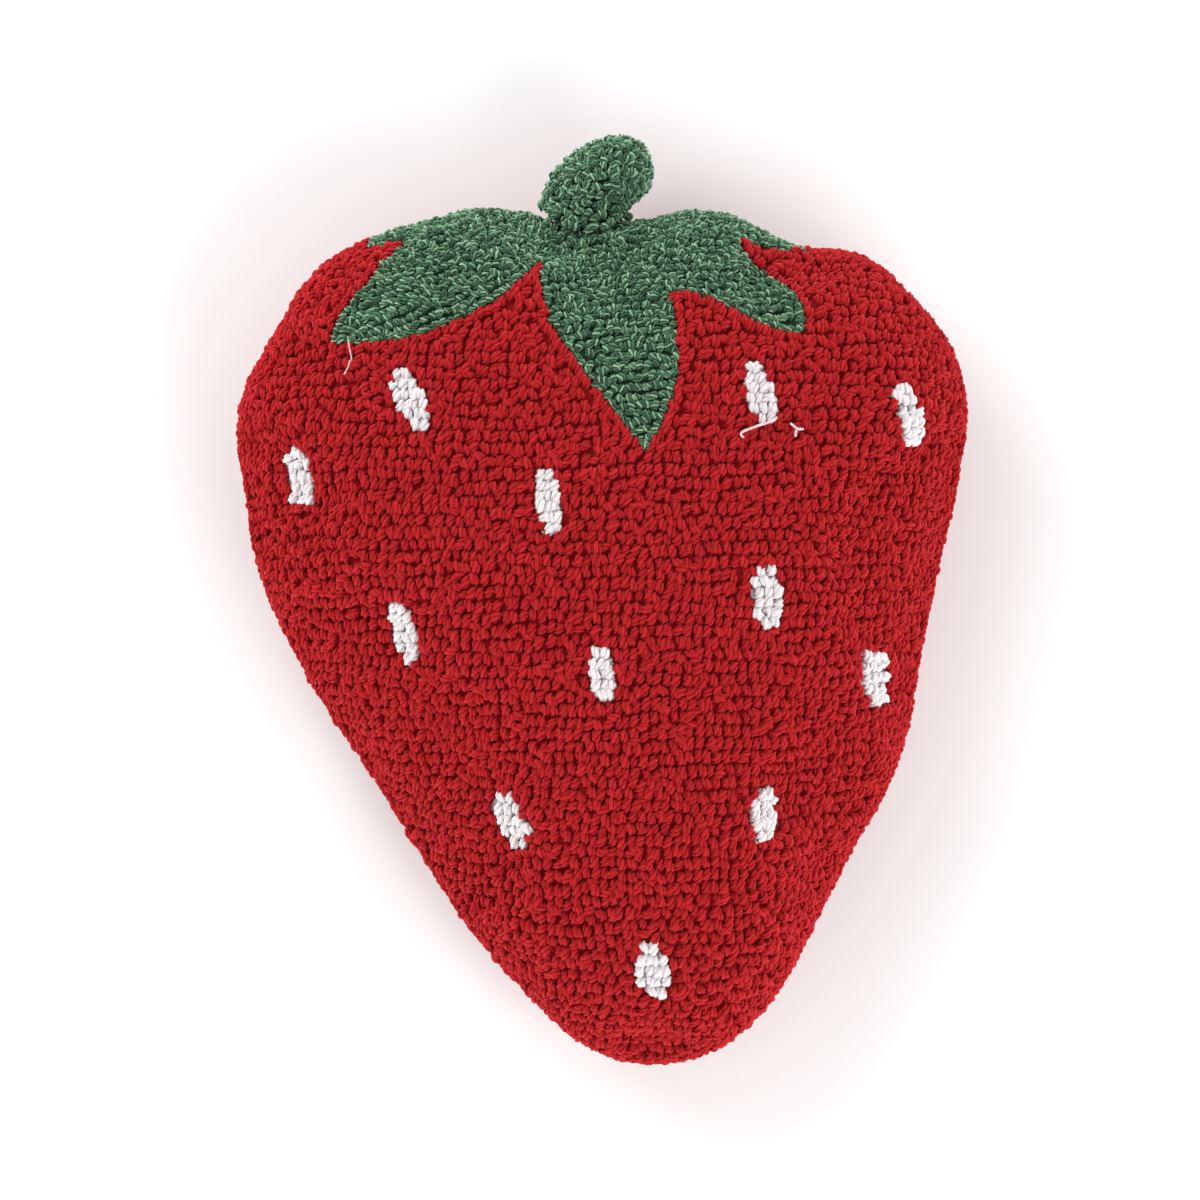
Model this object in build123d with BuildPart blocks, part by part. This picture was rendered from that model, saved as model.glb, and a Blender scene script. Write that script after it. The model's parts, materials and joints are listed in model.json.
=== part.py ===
"""Strawberry-shaped hooked cushion, lying on its back on a flat surface.

Millimetres, +Z up. The hooked face looks up, the stem points to +Y and the tip to -Y. The origin is
under the middle of the cushion, on the surface that it lies on.
"""
import os
from math import cos, radians, sin

from build123d import *

# The stuffed body
TOP = 104.0  # height of the pile at the crown of the cushion
SEAM = 45.0  # height of the seam between the hooked face and the back
PILE = 5.0  # length of the hooked loops
CANVAS = 1.2  # thickness of the foundation canvas and of the back panel
FLOOR_SPREAD = 0.66  # size of the flat patch underneath, as a part of the outline
DOME_POWER = 0.87  # below 1, the dome is fuller than an ellipse
BACK_POWER = 2.6  # these two make the back flat underneath and round at the side
BACK_FULLNESS = 2.2
PLAY = 4.3  # room between the cover and the insert
LINING = 0.6
GAP = 0.2

# The stem, a narrow stuffed curl sewn to the top edge
STEM_RISE = 21.0
STEM_DROP = 14.0

# The zip, in the back panel just under the seam on the straight lower right side
ZIP_LINE_POINT = (121.5, -127.0)  # the middle of the straight stretch of the outline
ZIP_DIRECTION = (0.450, 0.893)
ZIP_DEPTH = 5.9  # from the outline to the plane of the zip
ZIP_DROP = 8.5  # from the seam to the middle of the zip
ZIP_TILT = 6.3  # degrees that the zip faces below level
SLOT_LENGTH = 112.0
SLOT_WIDTH = 13.0
TAPE_LENGTH = 118.0
TAPE_WIDTH = 7.4
TAPE_THICKNESS = 0.6
TAPE_LEVEL = -2.0
COIL_GAP = 0.6  # from the middle of the zip to each coil
COIL_WIDTH = 2.0
COIL_HEIGHT = 1.2
COIL_END = 54.0
STOP_LENGTH = 2.0
SLIDER_REST = 45.5  # the slider's middle when the zip is closed
SLIDER_LENGTH = 9.5
SLIDER_WIDTH = 7.6
SLIDER_CORNER = 2.0
PLATE = 1.0
PLATE_LEVEL = 0.3  # underside of the slider's outer plate
PLATE_PLAY = 0.3  # room between the tapes and the slider's inner plate
WEB = 0.6
FLANGE = 0.8
BRIDGE_WIDTH = 1.6
BRIDGE_HALF = 3.2
BRIDGE_THICKNESS = 1.0
BRIDGE_ROOM = 1.7
PIN_RADIUS = 0.5
TAB_THICKNESS = 1.1
TAB_WIDTH = 6.4
TAB_CORNER = 2.9
TAB_HOLE = 1.3  # radius
TAB_REACH = 22.0
TAB_NECK = 4.2  # from the pin to the tab's solid part
ARM_GAP = 1.2
ARM_WIDTH = 1.2

# The label, a blank folded tape sewn into the seam on the lower left side
LABEL_POINT = (-120.5, -77.0)
LABEL_DIRECTION = (0.56, -0.828)
LABEL_WIDTH = 22.0
LABEL_DROP = 26.0
LABEL_THICKNESS = 0.6
LABEL_DEPTH = 3.4  # from the outline to the label's outer side

CENTRE = (0, 0)  # the outline shrinks towards this point
STEM_CENTRE = (-6, 192)
# Outline of the hooked face, anticlockwise from the tip. The three points from (95.8, -178) lie in line.
OUTLINE = [
    (23, -228.4), (48, -224), (73, -208), (95.8, -178), (120, -130), (147.2, -76), (155, -43),
    (166, 13), (178.5, 70), (176.3, 112), (163, 137), (144, 157), (124, 171), (108, 173), (92, 176),
    (70, 187), (43, 192), (18, 186), (-8, 184), (-33, 190), (-58, 193), (-85, 187.5), (-114, 178),
    (-146, 155), (-160.5, 132), (-174, 108), (-179.5, 78), (-176.5, 48), (-168.5, 13), (-157.5, -14),
    (-139, -49), (-102.5, -105), (-72, -153.5), (-34, -197.5), (-8, -219),
]
STEM_OUTLINE = [
    (14, 165), (13, 185), (16, 195), (23, 202), (25, 214), (19, 225), (6, 228.4), (-8, 224.5),
    (-20, 216), (-28, 205), (-31, 190), (-34, 165),
]
# The calyx: each edge of a leaf is a curve, from the top edge of the cushion on the left
LEFT_TOP_EDGE = [(-114, 240), (-114, 174.5), (-98, 177)]
LEFT_LEAF_UPPER = [(-98, 177), (-107, 164), (-123, 144), (-132.5, 125)]
LEFT_LEAF_LOWER = [(-132.5, 125), (-108, 125), (-80, 131.5), (-53, 145), (-31, 164)]
CENTRE_LEAF_LEFT = [(-31, 164), (-27, 140), (-12, 114), (20, 72)]
CENTRE_LEAF_RIGHT = [(20, 72), (31.5, 91), (37.2, 121), (33.5, 149)]
RIGHT_LEAF_LOWER = [(33.5, 149), (58, 143.5), (78, 133), (98, 130)]
RIGHT_LEAF_UPPER = [(98, 130), (97, 145), (83, 162), (69, 177)]
RIGHT_TOP_EDGE = [(69, 177), (100, 171.5), (100, 240), (-114, 240)]

# Seeds: middle x and y, length, width, and lean of the top towards -X in degrees
SEEDS = [
    (-93.5, 97.5, 32, 13, 26), (-150, 59, 28, 12, 12), (-26.5, 48, 32, 12, 8), (77, 100.5, 30, 14, 17),
    (150, 90, 33, 11, 15), (80, 1.5, 32, 14, 5), (-98, -16.5, 31, 11.5, 15), (0, -36, 27, 12.5, 7),
    (136, -38, 27, 12, 5), (-46, -108, 30, 14, 22), (79, -105, 26, 14, -8), (24.5, -180, 28, 15, 14),
]


def drawn_in(points, inset, centre, spread):
    """The closed outline moved inwards by inset, then shrunk to spread about its centre."""
    moved = []
    for index, (x, y) in enumerate(points):
        ahead = Vector(*points[(index + 1) % len(points)])
        behind = Vector(*points[index - 1])
        along = (ahead - behind).normalized()
        inner = Vector(x, y) + Vector(-along.Y, along.X) * inset
        moved.append((
            centre[0] + (inner.X - centre[0]) * spread,
            centre[1] + (inner.Y - centre[1]) * spread,
        ))
    return moved


def front_levels(inset):
    """Height and spread of each section of the cushion's face, from the seam to the crown."""
    rise = TOP - inset - SEAM
    levels = []
    for angle in (0, 15, 30, 45, 60, 75, 85):
        turn = radians(angle)
        levels.append((SEAM + rise * sin(turn) ** DOME_POWER, cos(turn) ** DOME_POWER))
    return levels


def back_levels(inset):
    """Height and spread of each section of the cushion's back, from its flat patch to the seam."""
    drop = SEAM + PILE - inset
    levels = []
    for part in (1.0, 0.985, 0.93, 0.83, 0.68, 0.5, 0.26, 0):
        curve = (1 - part**BACK_POWER) ** (1 / BACK_FULLNESS)
        levels.append((SEAM - drop * part, FLOOR_SPREAD + (1 - FLOOR_SPREAD) * curve))
    return levels


def stem_levels(reach):
    """Height and spread of each section of one half of the stem, from the seam outwards."""
    levels = []
    for angle in (0, 25, 50, 75):
        turn = radians(angle)
        levels.append((SEAM + reach * sin(turn) ** DOME_POWER, cos(turn) ** DOME_POWER))
    return levels


def stuffed(outline, centre, inset, levels):
    """A loft through shrunken copies of an outline that is first drawn in by inset."""
    with BuildPart() as body:
        for height, spread in levels:
            with BuildSketch(Plane.XY.offset(height)):
                with BuildLine():
                    Spline(*drawn_in(outline, inset, centre, spread), periodic=True)
                make_face()
        loft()
    return body.part


def face_half(inset):
    return stuffed(OUTLINE, CENTRE, inset, front_levels(inset))


def back_half(inset):
    return stuffed(OUTLINE, CENTRE, inset, back_levels(inset))


def stem_face_half(inset):
    return stuffed(STEM_OUTLINE, STEM_CENTRE, inset, stem_levels(STEM_RISE - inset))


def stem_back_half(inset):
    return stuffed(STEM_OUTLINE, STEM_CENTRE, inset, stem_levels(inset - PILE - STEM_DROP))


def seed_column(x, y, length, width, lean):
    """An upright oval column that cuts one seed out of the pile."""
    with BuildPart() as column:
        with BuildSketch():
            with Locations(Location((x, y, 0), (0, 0, lean))):
                Ellipse(width / 2, length / 2)
        extrude(amount=TOP + PILE)
    return column.part


def finish(piece, label):
    piece.part.label = label
    export_step(piece.part, f"parts/{label}.step")


os.makedirs("parts", exist_ok=True)

cushion_face = face_half(0)
cushion_back = back_half(PILE)
insert_size = PILE + CANVAS + PLAY

# The pile all over the face, before the colours share it out
with BuildPart() as pile_layer:
    add(cushion_face)
    add(face_half(PILE), mode=Mode.SUBTRACT)

# An upright column that cuts the calyx out of the pile
with BuildPart() as calyx_column:
    with BuildSketch():
        with BuildLine():
            Polyline(*LEFT_TOP_EDGE)
            Spline(*LEFT_LEAF_UPPER)
            Spline(*LEFT_LEAF_LOWER)
            Spline(*CENTRE_LEAF_LEFT)
            Spline(*CENTRE_LEAF_RIGHT)
            Spline(*RIGHT_LEAF_LOWER)
            Spline(*RIGHT_LEAF_UPPER)
            Polyline(*RIGHT_TOP_EDGE)
        make_face()
    extrude(amount=TOP + PILE)

# Hooked pile
with BuildPart() as pile_red:
    add(pile_layer.part)
    add(calyx_column.part, mode=Mode.SUBTRACT)
    for seed in SEEDS:
        add(seed_column(*seed), mode=Mode.SUBTRACT)
finish(pile_red, "pile_red")

with BuildPart() as pile_calyx:
    add(pile_layer.part)
    add(calyx_column.part, mode=Mode.INTERSECT)
finish(pile_calyx, "pile_calyx")

for number, seed in enumerate(SEEDS, start=1):
    with BuildPart() as pile_seed:
        add(pile_layer.part)
        add(seed_column(*seed), mode=Mode.INTERSECT)
    finish(pile_seed, f"seed_{number:02d}")

# Stem: hooked pile on its own canvas, a back, and filling, all cut off where they meet the cushion
with BuildPart() as pile_stem:
    add(stem_face_half(0))
    add(stem_face_half(PILE), mode=Mode.SUBTRACT)
    add(cushion_face, mode=Mode.SUBTRACT)
finish(pile_stem, "pile_stem")

with BuildPart() as stem_canvas:
    add(stem_face_half(PILE))
    add(stem_face_half(PILE + CANVAS), mode=Mode.SUBTRACT)
    add(cushion_face, mode=Mode.SUBTRACT)
finish(stem_canvas, "stem_canvas")

with BuildPart() as stem_back:
    add(stem_back_half(PILE))
    add(stem_back_half(PILE + CANVAS), mode=Mode.SUBTRACT)
    add(cushion_back, mode=Mode.SUBTRACT)
finish(stem_back, "stem_back")

with BuildPart() as stem_fill:
    add(stem_face_half(PILE + CANVAS + GAP))
    add(stem_back_half(PILE + CANVAS + GAP))
    add(cushion_face, mode=Mode.SUBTRACT)
    add(cushion_back, mode=Mode.SUBTRACT)
finish(stem_fill, "stem_fill")

# Cover: the foundation canvas that carries the loops, and the back panel with its slot for the zip
with BuildPart() as front_canvas:
    add(face_half(PILE))
    add(face_half(PILE + CANVAS), mode=Mode.SUBTRACT)
finish(front_canvas, "front_canvas")

tilt = radians(ZIP_TILT)
along_x, along_y = ZIP_DIRECTION
outward = Vector(along_y * cos(tilt), -along_x * cos(tilt), -sin(tilt))
zip_plane = Plane(
    origin=(
        ZIP_LINE_POINT[0] - along_y * ZIP_DEPTH,
        ZIP_LINE_POINT[1] + along_x * ZIP_DEPTH,
        SEAM - ZIP_DROP,
    ),
    x_dir=(along_x, along_y, 0),
    z_dir=outward,
)

with BuildPart() as back_panel:
    add(cushion_back)
    add(back_half(PILE + CANVAS), mode=Mode.SUBTRACT)
    with BuildSketch(zip_plane.offset(-2 * PILE)):
        SlotOverall(SLOT_LENGTH, SLOT_WIDTH)
    extrude(amount=4 * PILE, mode=Mode.SUBTRACT)
finish(back_panel, "back_panel")

# Seam: one line of thread inside the edge, open along the zip
with BuildPart() as seam_thread:
    with BuildSketch(Plane.XY.offset(SEAM - LINING)):
        with BuildLine():
            Spline(*drawn_in(OUTLINE, PILE + CANVAS + 2 * GAP, CENTRE, 1), periodic=True)
        make_face()
        with BuildLine():
            Spline(*drawn_in(OUTLINE, PILE + CANVAS + 6 * GAP, CENTRE, 1), periodic=True)
        make_face(mode=Mode.SUBTRACT)
    extrude(amount=2 * LINING)
    with BuildSketch(zip_plane.offset(-3 * PILE)):
        Rectangle(TAPE_LENGTH + 10 * GAP, 6 * PILE)
    extrude(amount=6 * PILE, mode=Mode.SUBTRACT)
finish(seam_thread, "seam_thread")

# Insert: a lining bag in two halves, filled with fibre
with BuildPart() as insert_front:
    add(face_half(insert_size))
    add(face_half(insert_size + LINING), mode=Mode.SUBTRACT)
finish(insert_front, "insert_front")

with BuildPart() as insert_back:
    add(back_half(insert_size))
    add(back_half(insert_size + LINING), mode=Mode.SUBTRACT)
finish(insert_back, "insert_back")

with BuildPart() as fibre_fill:
    add(face_half(insert_size + LINING + GAP))
    add(back_half(insert_size + LINING + GAP))
finish(fibre_fill, "fibre_fill")

# Label
label_plane = Plane(
    origin=(
        LABEL_POINT[0] - LABEL_DIRECTION[1] * LABEL_DEPTH,
        LABEL_POINT[1] + LABEL_DIRECTION[0] * LABEL_DEPTH,
        SEAM - GAP,
    ),
    x_dir=(*LABEL_DIRECTION, 0),
    z_dir=(LABEL_DIRECTION[1], -LABEL_DIRECTION[0], 0),
)
with BuildPart() as care_label:
    with BuildSketch(label_plane):
        Rectangle(LABEL_WIDTH, LABEL_DROP, align=(Align.CENTER, Align.MAX))
    extrude(amount=-LABEL_THICKNESS)
finish(care_label, "care_label")


# Zip
def strip(side, near, width, level, height, start, end):
    """A straight strip along the zip, on its upper (1) or lower (-1) side."""
    with BuildPart() as bar:
        with BuildSketch(zip_plane.offset(level)):
            with Locations(((start + end) / 2, side * (near + width / 2))):
                Rectangle(end - start, width)
        extrude(amount=height)
    return bar


coil_level = TAPE_LEVEL + TAPE_THICKNESS
for name, side in (("upper", 1), ("lower", -1)):
    half = TAPE_LENGTH / 2
    zip_tape = strip(side, COIL_GAP, TAPE_WIDTH, TAPE_LEVEL, TAPE_THICKNESS, -half, half)
    finish(zip_tape, f"zip_tape_{name}")
    zip_coil = strip(side, COIL_GAP, COIL_WIDTH, coil_level, COIL_HEIGHT, -COIL_END, COIL_END)
    finish(zip_coil, f"zip_coil_{name}")

with BuildPart() as zip_top_stops:
    with BuildSketch(zip_plane.offset(coil_level + COIL_HEIGHT)):
        with Locations((COIL_END - STOP_LENGTH, COIL_GAP), (COIL_END - STOP_LENGTH, -COIL_GAP - COIL_WIDTH)):
            Rectangle(STOP_LENGTH, COIL_WIDTH, align=Align.MIN)
    extrude(amount=PLATE)
finish(zip_top_stops, "zip_top_stops")

with BuildPart() as zip_bottom_stop:
    with BuildSketch(zip_plane.offset(coil_level + COIL_HEIGHT)):
        with Locations((STOP_LENGTH / 2 - COIL_END, 0)):
            Rectangle(STOP_LENGTH, 2 * (COIL_GAP + COIL_WIDTH))
    extrude(amount=PLATE)
finish(zip_bottom_stop, "zip_bottom_stop")

plate_top = PLATE_LEVEL + PLATE
inner_plate_level = TAPE_LEVEL - PLATE_PLAY - PLATE
with BuildPart() as zip_slider:
    with BuildSketch(zip_plane.offset(PLATE_LEVEL)):
        with Locations((SLIDER_REST, 0)):
            RectangleRounded(SLIDER_LENGTH, SLIDER_WIDTH, SLIDER_CORNER)
    extrude(amount=PLATE)
    with BuildSketch(zip_plane.offset(inner_plate_level)):
        with Locations((SLIDER_REST, 0)):
            RectangleRounded(SLIDER_LENGTH, SLIDER_WIDTH, SLIDER_CORNER)
    extrude(amount=PLATE)
    with BuildSketch(zip_plane.offset(inner_plate_level)):
        with Locations((SLIDER_REST + SLIDER_LENGTH / 2, 0)):
            Rectangle(SLIDER_LENGTH / 4, WEB, align=(Align.MAX, Align.CENTER))
    extrude(amount=PLATE_LEVEL - inner_plate_level + PLATE / 2)
    with BuildSketch(zip_plane.offset(coil_level + 2 * GAP)):
        for across in (SLIDER_WIDTH / 2 - FLANGE / 2, FLANGE / 2 - SLIDER_WIDTH / 2):
            with Locations((SLIDER_REST, across)):
                Rectangle(SLIDER_LENGTH - 2 * SLIDER_CORNER, FLANGE)
    extrude(amount=PLATE_LEVEL - coil_level)
    with BuildSketch(zip_plane.offset(plate_top)):
        with Locations((SLIDER_REST, 0)):
            Rectangle(2 * BRIDGE_HALF, BRIDGE_WIDTH)
    extrude(amount=BRIDGE_ROOM + BRIDGE_THICKNESS)
    with BuildSketch(zip_plane.offset(plate_top)):
        with Locations((SLIDER_REST, 0)):
            Rectangle(2 * (BRIDGE_HALF - BRIDGE_THICKNESS), 2 * BRIDGE_WIDTH)
    extrude(amount=BRIDGE_ROOM, mode=Mode.SUBTRACT)
finish(zip_slider, "zip_slider")

pin_level = plate_top + BRIDGE_ROOM / 2
with BuildPart() as pull_tab:
    with BuildSketch(zip_plane.offset(pin_level - TAB_THICKNESS / 2)):
        with Locations((SLIDER_REST - TAB_NECK, 0)):
            Rectangle(TAB_REACH - TAB_NECK, TAB_WIDTH, align=(Align.MAX, Align.CENTER))
        for across in (ARM_GAP, -ARM_GAP - ARM_WIDTH):
            with Locations((SLIDER_REST + TAB_THICKNESS / 2, across)):
                Rectangle(TAB_NECK + TAB_THICKNESS, ARM_WIDTH, align=(Align.MAX, Align.MIN))
    extrude(amount=TAB_THICKNESS)
    thickness = Axis(zip_plane.origin, zip_plane.z_dir)
    ends = pull_tab.edges().filter_by(thickness).sort_by(Axis(zip_plane.origin, zip_plane.x_dir))
    fillet(ends[:2], TAB_CORNER)
    with BuildSketch(zip_plane.offset(pin_level - TAB_THICKNESS)):
        with Locations((SLIDER_REST - TAB_REACH + TAB_WIDTH / 2, 0)):
            Circle(TAB_HOLE)
    extrude(amount=2 * TAB_THICKNESS, mode=Mode.SUBTRACT)
    pin_origin = zip_plane.from_local_coords((SLIDER_REST, -ARM_GAP - ARM_WIDTH / 2, pin_level))
    with BuildSketch(Plane(origin=pin_origin, x_dir=zip_plane.x_dir, z_dir=zip_plane.y_dir)):
        Circle(PIN_RADIUS)
    extrude(amount=2 * ARM_GAP + ARM_WIDTH)
finish(pull_tab, "pull_tab")
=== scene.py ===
"""Looks of the strawberry-shaped hooked cushion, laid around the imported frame. Metres, +Z up.

The cushion lies on its back. Its cover is inflated by cloth simulation, and every loop of yarn is then
laid on that cover in rows, in the colour of the CAD pile node that it stands in.
"""

import json
from math import cos, pi, radians, sin

import bpy
import numpy as np
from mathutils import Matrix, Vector
from mathutils.bvhtree import BVHTree
from mathutils.kdtree import KDTree


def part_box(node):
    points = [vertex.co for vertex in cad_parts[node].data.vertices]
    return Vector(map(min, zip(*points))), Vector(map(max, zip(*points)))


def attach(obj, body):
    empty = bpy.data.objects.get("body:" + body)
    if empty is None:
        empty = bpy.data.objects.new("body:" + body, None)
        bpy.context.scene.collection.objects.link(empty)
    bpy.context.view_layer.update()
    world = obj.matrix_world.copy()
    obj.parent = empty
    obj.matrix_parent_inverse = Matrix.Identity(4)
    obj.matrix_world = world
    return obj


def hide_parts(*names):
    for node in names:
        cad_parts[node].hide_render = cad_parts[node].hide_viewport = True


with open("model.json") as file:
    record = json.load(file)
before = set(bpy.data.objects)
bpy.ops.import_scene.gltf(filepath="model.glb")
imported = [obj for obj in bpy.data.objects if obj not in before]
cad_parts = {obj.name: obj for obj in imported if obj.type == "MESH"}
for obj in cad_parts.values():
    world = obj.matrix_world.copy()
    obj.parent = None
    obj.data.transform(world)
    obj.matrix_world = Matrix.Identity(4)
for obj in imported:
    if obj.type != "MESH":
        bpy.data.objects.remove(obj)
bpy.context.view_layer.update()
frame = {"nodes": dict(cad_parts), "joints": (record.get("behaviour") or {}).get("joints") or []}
nodes = frame["nodes"]
rng = np.random.default_rng(14)
MM = 0.001

# What the frame says
SEAM_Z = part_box("back_panel")[1].z
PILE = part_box("pile_red")[1].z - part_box("front_canvas")[1].z
CENTRE = np.array([0.0, 0.0, SEAM_Z])
SEED_NODES = sorted(n for n in nodes if n.startswith("seed_"))
PILE_NODES = ["pile_red", "pile_calyx", *SEED_NODES]

# Hooking: rows of loops, and how far the loops stand apart along a row
RED_ROW = 6.0 * MM
RED_STEP = 4.5 * MM
GREEN_ROW = 4.3 * MM
GREEN_STEP = 3.9 * MM
GREEN_GAP = 3.2 * MM  # a gap this wide gets one more loop
RED_GAP = 4.0 * MM
WHITE_ROW = 5.0 * MM
WHITE_STEP = 4.1 * MM
WAVES = ((0.16, 95, 0.7), (0.30, 24, 0.35))  # height in rows, radians a metre, and shift from row to row
STRAY_SHARE = 0.09  # of a row or a step, that loops stray from their places
BORDER = 2.2 * MM  # from the seam to the first loops
BESIDE = 1.8 * MM  # from the calyx's outline to the loops on either side of it
SEED_MARGIN = 0.6 * MM  # from a seed's ends to its first and last rows
FINE = 0.4 * MM  # step in which the outlines of the calyx and the seeds are read
STEM_BLEND = 16 * MM  # this near to each other, the crown's and the stem's pile run together

# The cover's table of points: how finely it is read around and over the cushion
AROUND = 720
OVER = 181
EQUATOR = (OVER - 1) // 2  # the table's row at the seam

# Cloth simulation of the cover
VOXEL = 5 * MM
SWELL = 5 * MM  # no point moves further than this
ZIP_HELD = np.array([70, 14, 20]) * MM  # held on each side of the zip's middle: along, across and out
SEAM_HELD = 3.2 * MM  # held above and below the seam
FLOOR_HELD = 1.5 * MM  # held above the resting face
FLOOR_CLEAR = 0.2 * MM  # the lowest that the cover may come
CLOTH_STEPS = 20
CLOTH = {
    "quality": 6, "mass": 0.4, "tension_stiffness": 25, "compression_stiffness": 25, "shear_stiffness": 8,
    "bending_stiffness": 1.5, "use_pressure": True, "uniform_pressure_force": 4, "shrink_min": -0.045,
    "vertex_group_mass": "held",
}


# ---------------------------------------------------------------- meshes
def new_object(name, data):
    """A new object in the scene."""
    piece = bpy.data.objects.new(name, data)
    bpy.context.scene.collection.objects.link(piece)
    return piece


def mesh_object(name, verts, faces):
    """A new object from arrays of points and of faces."""
    mesh = bpy.data.meshes.new(name)
    faces = np.asarray(faces)
    corners = faces.shape[1]
    mesh.vertices.add(len(verts))
    mesh.vertices.foreach_set("co", np.asarray(verts, np.float32).ravel())
    mesh.loops.add(faces.size)
    mesh.loops.foreach_set("vertex_index", faces.astype(np.int32).ravel())
    mesh.polygons.add(len(faces))
    mesh.polygons.foreach_set("loop_start", np.arange(0, faces.size, corners, dtype=np.int32))
    mesh.update(calc_edges=True)
    mesh.validate()
    mesh.polygons.foreach_set("use_smooth", np.ones(len(mesh.polygons), bool))
    return new_object(name, mesh)


def tree_of(names):
    """One search tree over several CAD nodes, and the node that each of its faces belongs to."""
    verts, faces, owners = [], [], []
    for name in names:
        mesh = nodes[name].data
        mesh.calc_loop_triangles()
        start = len(verts)
        verts.extend(v.co.copy() for v in mesh.vertices)
        for triangle in mesh.loop_triangles:
            faces.append([start + i for i in triangle.vertices])
            owners.append(name)
    return BVHTree.FromPolygons(verts, faces), owners


def points_of(piece):
    found = np.zeros(len(piece.data.vertices) * 3, np.float32)
    piece.data.vertices.foreach_get("co", found)
    return found.reshape(-1, 3).astype(float)


def modify(piece, kind, **settings):
    modifier = piece.modifiers.new(kind, kind)
    for key, value in settings.items():
        setattr(modifier, key, value)


def apply_modifiers(piece):
    """Keeps what the modifiers make of the piece, and takes them off."""
    made = bpy.data.meshes.new_from_object(piece.evaluated_get(bpy.context.evaluated_depsgraph_get()))
    piece.modifiers.clear()
    old = piece.data
    piece.data = made
    bpy.data.meshes.remove(old)


def unit(vectors):
    return vectors / np.maximum(np.linalg.norm(vectors, axis=-1, keepdims=True), 1e-12)


def directions(around, over):
    """Unit vectors on a grid: around the cushion, and from straight down to straight up."""
    theta = np.arange(around) * 2 * pi / around
    phi = np.linspace(-pi / 2, pi / 2, over)
    theta, phi = np.meshgrid(theta, phi, indexing="ij")
    return np.stack([np.cos(phi) * np.cos(theta), np.cos(phi) * np.sin(theta), np.sin(phi)], -1)


def read_cover(tree, around, over):
    """How far the cover is from the centre in each direction; gaps in it are bridged."""
    rays = directions(around, over)
    far = 0.5
    reach = np.full(rays.shape[:2], np.nan)
    for i in range(around):
        for j in range(over):
            ray = Vector(rays[i, j])
            hit = tree.ray_cast(Vector(CENTRE) + ray * far, -ray, far - 0.02)
            if hit[0] is not None:
                reach[i, j] = far - hit[3]
    steps = np.arange(over)
    for i in range(around):
        found = np.isfinite(reach[i])
        reach[i] = np.interp(steps, steps[found], reach[i][found])
    return CENTRE + rays * reach[..., None]


def bands(rings, around):
    """Triangles between each ring of points and the next, ring after ring."""
    i = np.arange(around)
    k = (i + 1) % around
    low = np.arange(rings - 1)[:, None] * around
    high = low + around
    lower = np.stack([low + i, low + k, high + k], -1)
    upper = np.stack([low + i, high + k, high + i], -1)
    return np.stack([lower, upper], 1).reshape(-1, 3)


def fan(start, around, pole):
    """Triangles from one ring of points, which begins at start, to a pole."""
    i = np.arange(around)
    return np.stack([start + i, start + (i + 1) % around, np.full(around, pole)], 1)


def closed_grid(points):
    """Vertices and triangles of a closed surface from a table of points whose ends are poles."""
    around, over = points.shape[:2]
    rings = points[:, 1:-1].transpose(1, 0, 2).reshape(-1, 3)
    verts = np.concatenate([rings, points[:, 0].mean(0)[None], points[:, -1].mean(0)[None]])
    bottom, top = len(verts) - 2, len(verts) - 1
    floor = fan(0, around, bottom)[:, [1, 0, 2]]
    return verts, np.concatenate([bands(over - 2, around), floor, fan((over - 3) * around, around, top)])


# ---------------------------------------------------------------- cover, by cloth simulation
def zip_frame():
    """The zip's middle line: its place, and its directions along, across and out of the tape."""
    axes = {joint["name"]: np.array(joint["axis"], float) for joint in frame["joints"]}
    along = -unit(axes["zip_slide"])
    across = unit(axes["pull_flip"])
    out = np.cross(along, across)
    tapes = np.concatenate([points_of(nodes["zip_tape_upper"]), points_of(nodes["zip_tape_lower"])])
    middle = (tapes.min(0) + tapes.max(0)) / 2
    face = ((tapes - middle) @ out).max()
    return middle + out * face, along, across, out


def inflate(body):
    """Blows the cover up by cloth simulation with its seam, its zip and its resting face held."""
    rest = points_of(body)
    middle, along, across, out = ZIP
    local = (rest - middle) @ np.stack([along, across, out], 1)
    near_zip = (np.abs(local) < ZIP_HELD).all(1)
    seam = np.abs(rest[:, 2] - SEAM_Z) < SEAM_HELD
    flat = rest[:, 2] < FLOOR_HELD
    held = body.vertex_groups.new(name="held")
    held.add(np.flatnonzero(near_zip | seam | flat).tolist(), 1.0, "REPLACE")
    cloth = body.modifiers.new("Cloth", "CLOTH")
    for key, value in CLOTH.items():
        setattr(cloth.settings, key, value)
    cloth.settings.effector_weights.gravity = 0
    scene = bpy.context.scene
    for step in range(CLOTH_STEPS):
        scene.frame_set(step + 1)
    evaluated = body.evaluated_get(bpy.context.evaluated_depsgraph_get())
    moved = np.array([v.co for v in evaluated.data.vertices]) - rest
    body.modifiers.clear()
    scene.frame_set(1)
    size = np.linalg.norm(moved, axis=1, keepdims=True)
    moved *= np.minimum(1, SWELL / np.maximum(size, 1e-9))
    result = rest + moved
    result[:, 2] = np.maximum(result[:, 2], FLOOR_CLEAR)
    body.data.vertices.foreach_set("co", result.astype(np.float32).ravel())
    body.data.update()


def make_cover():
    """The table of points of the cover's outside, under the pile in front and of the back panel."""
    tree, _ = tree_of(["front_canvas", "back_panel"])
    points = read_cover(tree, 240, 91)
    body = mesh_object("cover_form", *closed_grid(points))
    modify(body, "REMESH", mode="VOXEL", voxel_size=VOXEL)
    apply_modifiers(body)
    inflate(body)
    modify(body, "SMOOTH", iterations=2, factor=0.4)
    modify(body, "SUBSURF", levels=1)
    apply_modifiers(body)
    tree = BVHTree.FromObject(body, bpy.context.evaluated_depsgraph_get())
    bpy.data.objects.remove(body)
    return read_cover(tree, AROUND, OVER)


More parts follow.
